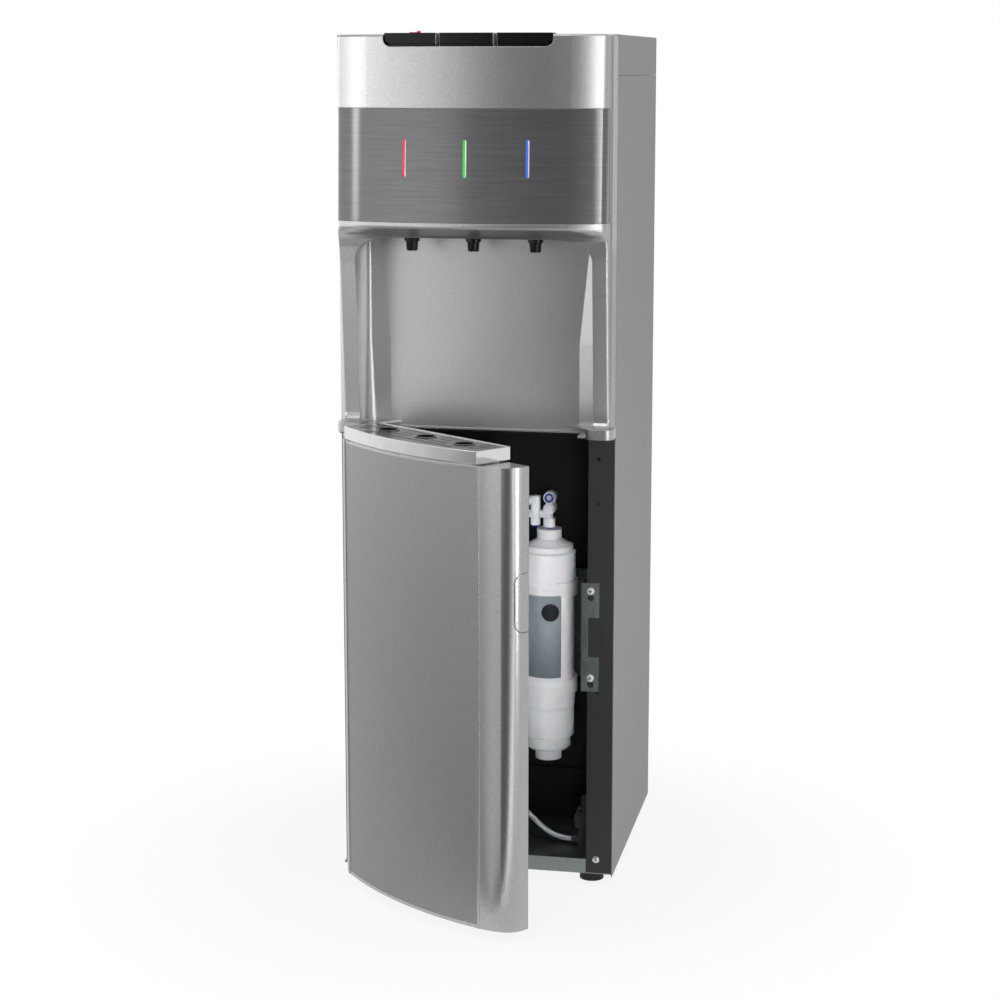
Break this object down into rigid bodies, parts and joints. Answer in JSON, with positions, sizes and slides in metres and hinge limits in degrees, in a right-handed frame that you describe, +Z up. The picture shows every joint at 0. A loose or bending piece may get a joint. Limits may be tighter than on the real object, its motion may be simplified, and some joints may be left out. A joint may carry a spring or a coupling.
{
  "type": "point-of-use water cooler",
  "caption": "Free-standing water cooler with taps over an open niche, and a hinged lower door that carries a drip tray and opens on the filter cartridges.",
  "frame": {"origin": "on the floor, under the middle of the object's box as it stands with its door ajar", "axes": "+X to the right as seen from the front, +Y to the rear, +Z up"},
  "size_m": [0.34, 0.5638, 1.0438],
  "materials": {
    "side_paint": "fine satin texture",
    "galvanised": "zinc spangle",
    "bright_steel": "bright zinc",
    "post_black": "satin",
    "inner_black": "matt",
    "silver_moulding": "metallic silver paint",
    "fascia_steel": "brushed along its length",
    "niche_grey": "fine metallic grain",
    "lens_red": "clear moulded",
    "lens_green": "clear moulded",
    "lens_blue": "clear moulded",
    "board_green": "laminate",
    "black_gloss": "polished",
    "black_plastic": "moulded",
    "lock_red": "polished",
    "white_plastic": "moulded",
    "tank_steel": "drawn",
    "foam_white": "foamed",
    "foam_dark": "foamed",
    "copper": "drawn tube",
    "compressor_black": "gloss paint",
    "rubber_black": "moulded",
    "condenser_black": "gloss paint",
    "switch_red": "moulded",
    "switch_green": "moulded",
    "filter_white": "moulded",
    "collet_blue": "moulded",
    "valve_dark": "moulded",
    "tube_white": "extruded",
    "door_silver": "metallic paint",
    "liner_grey": "moulded",
    "tray_chrome": "bright plated plastic"
  },
  "bodies": {
    "cabinet": {"base_pan": "galvanised", "carbon_filter": "filter_white", "cold_tank": "tank_steel", "compressor": "compressor_black", "compressor_mounts": "rubber_black", "condenser": "condenser_black", "control_board": "board_green", "dispense_valves": "white_plastic", "drain_outlets": "white_plastic", "evaporator_band": "copper", "fascia_panel": "fascia_steel", "feet": "rubber_black", "filter_bracket": "galvanised", "filter_clips": "filter_white", "filter_collets": "collet_blue", "filter_drier": "copper", "filter_elbows": "filter_white", "frame_fasteners": "bright_steel", "front_shell": "silver_moulding", "hinge_pins": "bright_steel", "hinge_plates": "galvanised", "hot_tank": "tank_steel", "hot_tank_jacket": "foam_dark", "key_housing": "black_gloss", "key_switches": "black_plastic", "leak_valve": "valve_dark", "light_cold": "lens_blue", "light_hot": "lens_red", "light_warm": "lens_green", "mains_inlet": "black_plastic", "mid_shelf": "inner_black", "niche_liner": "niche_grey", "partition": "inner_black", "post_left": "post_black", "post_right": "post_black", "rear_panel": "galvanised", "sediment_filter": "filter_white", "side_panel_left": "side_paint", "side_panel_right": "side_paint", "switch_frames": "black_plastic", "tank_insulation": "foam_white", "tank_shelf": "galvanised", "tap_nozzles": "black_gloss", "thermostats": "black_plastic", "top_cover": "side_paint", "valve_tube": "tube_white", "water_inlet": "white_plastic"},
    "door": {"door_shell": "silver_moulding", "door_panel": "door_silver", "door_liner": "liner_grey", "door_grip": "silver_moulding", "door_magnet": "rubber_black"},
    "tray": {"drip_tray": "tray_chrome"},
    "grille": {"drip_grille": "tray_chrome"},
    "hot_key_body": {"hot_key": "black_gloss"},
    "normal_key_body": {"normal_key": "black_gloss"},
    "cold_key_body": {"cold_key": "black_gloss"},
    "child_lock_body": {"child_lock": "lock_red"},
    "hot_switch_body": {"hot_switch": "switch_red"},
    "cold_switch_body": {"cold_switch": "switch_green"}
  },
  "joints": [
    {"name": "door_hinge", "type": "hinge", "parent": "cabinet", "child": "door", "pos_m": [-0.1585, -0.07859, 0.287], "axis": [0, 0, -1], "range_deg": [-37, 53]},
    {"name": "tray_lift", "type": "slide", "parent": "door", "child": "tray", "axis": [0, 0, 1], "range_m": [0, 0.06]},
    {"name": "grille_lift", "type": "slide", "parent": "tray", "child": "grille", "axis": [0, 0, 1], "range_m": [0, 0.03]},
    {"name": "hot_key_press", "type": "slide", "parent": "cabinet", "child": "hot_key_body", "axis": [0, 0, -1], "range_m": [0, 0.003], "stiffness_N_per_m": 500, "springref_m": -0.002},
    {"name": "normal_key_press", "type": "slide", "parent": "cabinet", "child": "normal_key_body", "axis": [0, 0, -1], "range_m": [0, 0.003], "stiffness_N_per_m": 500, "springref_m": -0.002},
    {"name": "cold_key_press", "type": "slide", "parent": "cabinet", "child": "cold_key_body", "axis": [0, 0, -1], "range_m": [0, 0.003], "stiffness_N_per_m": 500, "springref_m": -0.002},
    {"name": "child_lock_slide", "type": "slide", "parent": "hot_key_body", "child": "child_lock_body", "axis": [1, 0, 0], "range_m": [0, 0.004]},
    {"name": "hot_switch_rock", "type": "hinge", "parent": "cabinet", "child": "hot_switch_body", "pos_m": [0.0935, 0.26091, 0.96], "axis": [0, 0, -1], "range_deg": [0, 20]},
    {"name": "cold_switch_rock", "type": "hinge", "parent": "cabinet", "child": "cold_switch_body", "pos_m": [0.1295, 0.26091, 0.96], "axis": [0, 0, -1], "range_deg": [0, 20]}
  ]
}
